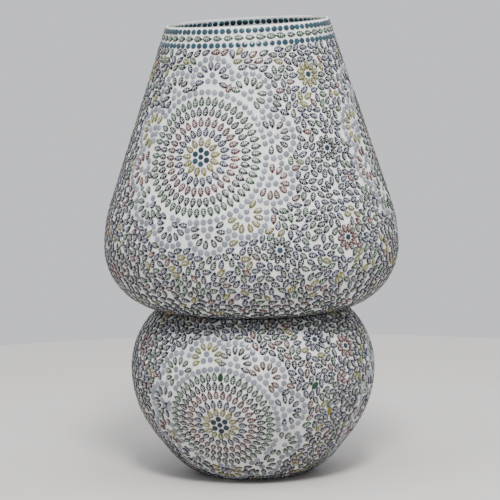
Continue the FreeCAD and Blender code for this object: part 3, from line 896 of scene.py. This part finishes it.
plain_colours = {
    "plain_green": ((0.008, 0.034, 0.013), (0.013, 0.050, 0.020)),
    "plain_olive": ((0.110, 0.100, 0.014), (0.150, 0.135, 0.020)),
}
for name, (low, high) in plain_colours.items():
    leaf_glass[name] = bead_glass(name, low, high, smooth=0.10, rough=0.25, coat=0.0)
swap_for_plain("base", -14.5, 0.124, "plain_green")
swap_for_plain("base", 28.5, 0.113, "plain_green")
swap_for_plain("base", 40, 0.091, "plain_olive")

for side in ("base", "shade"):
    for kind, glasses in (("dot", dot_glass), ("leaf", leaf_glass)):
        for name, glass in glasses.items():
            groups = [group for group in laid[side]
                      if group["kind"] == kind and group["colour"] == name]
            if not groups:
                continue
            finishes = [glass] if kind == "dot" else [pale_veins, glass]
            if name.startswith("plain"):
                finishes = [glass, glass]
            piece = bead_piece(side + "_" + name + "_" + kind + "s", side, kind, groups, finishes)


# The grout: white cement rubbed into the gaps between the beads and wiped off, so that it
# stays about a millimetre below their tops, on the base and on the shade.
grout_drop = 0.0011
grout_wave = 0.00005
grout_above_backs = 0.00005
inlet_hole = 0.0072


def grout_finish():
    material, tree, shader = start_material("white_grout")
    patches = noise(tree, 55, 5)
    tree.links.new(blend_colours(tree, patches, (0.60, 0.60, 0.585), (0.74, 0.74, 0.725)),
                   shader.inputs["Base Color"])
    tree.links.new(spread(tree, noise(tree, 900), 0.75, 0.95), shader.inputs["Roughness"])
    roughen(tree, shader, noise(tree, 1100, 4), 0.00025)
    return material


def grout_piece(name, side, high_run, node, inlet=False):
    """A closed skin between two depths, from the foot of a side up to a run that may slope,
    with a hole for the grommet if asked."""
    around, levels = 240, 150
    turn = np.arange(around) * 2 * math.pi / around
    share = np.linspace(0, 1, levels)[:, None]
    run = share * high_run(turn)[None]
    wide_turn = np.broadcast_to(turn, run.shape)
    wave = grout_wave * (np.sin(23 * wide_turn + 410 * run) + np.sin(41 * wide_turn - 690 * run))
    outer = place_on(side, run, wide_turn, grout_drop + wave)
    inner = place_on(side, run, wide_turn, bead_depth - grout_above_backs)
    points = np.concatenate([outer.reshape(-1, 3), inner.reshape(-1, 3)])
    index = np.arange(levels * around).reshape(levels, around)
    after = np.roll(index, -1, axis=1)
    inside = levels * around
    kept = np.ones((levels - 1, around), bool)
    if inlet:
        beyond = np.roll(outer, -1, axis=1)
        middle = (outer[:-1] + outer[1:] + beyond[:-1] + beyond[1:]) / 4
        hole = place_on(side, np.array([run_at(side, inlet_height)]), np.array([math.pi]))
        kept = np.linalg.norm(middle - hole, axis=-1) > inlet_hole
    beside = np.roll(kept, -1, axis=1)
    above = kept[1:]

    def wall(chosen, first, second):
        first, second = first[chosen], second[chosen]
        return np.stack([first, second, second + inside, first + inside], axis=-1)

    sheets = [
        np.stack([index[:-1], after[:-1], after[1:], index[1:]], axis=-1)[kept],
        np.stack([index[:-1], index[1:], after[1:], after[:-1]], axis=-1)[kept] + inside,
        np.stack([index[-1], after[-1], after[-1] + inside, index[-1] + inside], axis=-1),
        np.stack([index[0], index[0] + inside, after[0] + inside, after[0]], axis=-1),
        wall(kept & ~beside, after[1:], after[:-1]),
        wall(beside & ~kept, after[:-1], after[1:]),
        wall(kept[:-1] & ~above, index[1:-1], after[1:-1]),
        wall(above & ~kept[:-1], after[1:-1], index[1:-1]),
    ]
    mesh = bpy.data.meshes.new(name)
    mesh.from_pydata(points.tolist(), [], np.concatenate(sheets).tolist())
    mesh.shade_smooth()
    mesh.materials.append(white_grout)
    mesh.update()
    loose = bmesh.new()
    loose.from_mesh(mesh)
    unused = [point for point in loose.verts if not point.link_faces]
    bmesh.ops.delete(loose, geom=unused, context="VERTS")
    loose.to_mesh(mesh)
    loose.free()
    piece = bpy.data.objects.new(name, mesh)
    bpy.context.scene.collection.objects.link(piece)
    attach(piece, "lamp")
    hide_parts(node)


white_grout = grout_finish()
crease_run = lines["base"]["run"][-1]
grout_piece("base_grout", "base", lambda turn: np.full_like(turn, crease_run), "base_mosaic",
            inlet=True)
grout_piece("shade_grout", "shade", rim_run, "shade_mosaic")


# The studio: a round pale floor, one soft light above the front, a wider one overhead, and
# even light from all round.
floor_radius = 0.77


def pale_floor():
    material, tree, shader = start_material("pale_floor")
    tree.links.new(blend_colours(tree, noise(tree, 3), (0.50, 0.48, 0.46), (0.56, 0.54, 0.52)),
                   shader.inputs["Base Color"])
    tree.links.new(spread(tree, noise(tree, 40), 0.55, 0.7), shader.inputs["Roughness"])
    return material


bpy.ops.mesh.primitive_circle_add(vertices=256, radius=floor_radius, fill_type="NGON",
                                  location=(0, 0, 0))
floor = bpy.context.object
floor.name = "floor"
floor.data.materials.append(pale_floor())


def soft_light(name, size, power, place, target):
    data = bpy.data.lights.new(name, "AREA")
    data.shape = "DISK"
    data.size = size
    data.energy = power
    light = bpy.data.objects.new(name, data)
    light.location = place
    light.rotation_euler = (Vector(target) - Vector(place)).to_track_quat("-Z", "Y").to_euler()
    bpy.context.scene.collection.objects.link(light)


soft_light("key_light", 0.6, 85, (0.1, -1.75, 2.15), (0, 0, 0.25))
soft_light("ceiling_light", 2.4, 54, (0.2, -0.6, 2.4), (0, 0, 0.2))
world = bpy.data.worlds.new("studio")
world.use_nodes = True
background = world.node_tree.nodes["Background"]
background.inputs["Color"].default_value = (0.80, 0.81, 0.84, 1)
background.inputs["Strength"].default_value = 0.98
bpy.context.scene.world = world
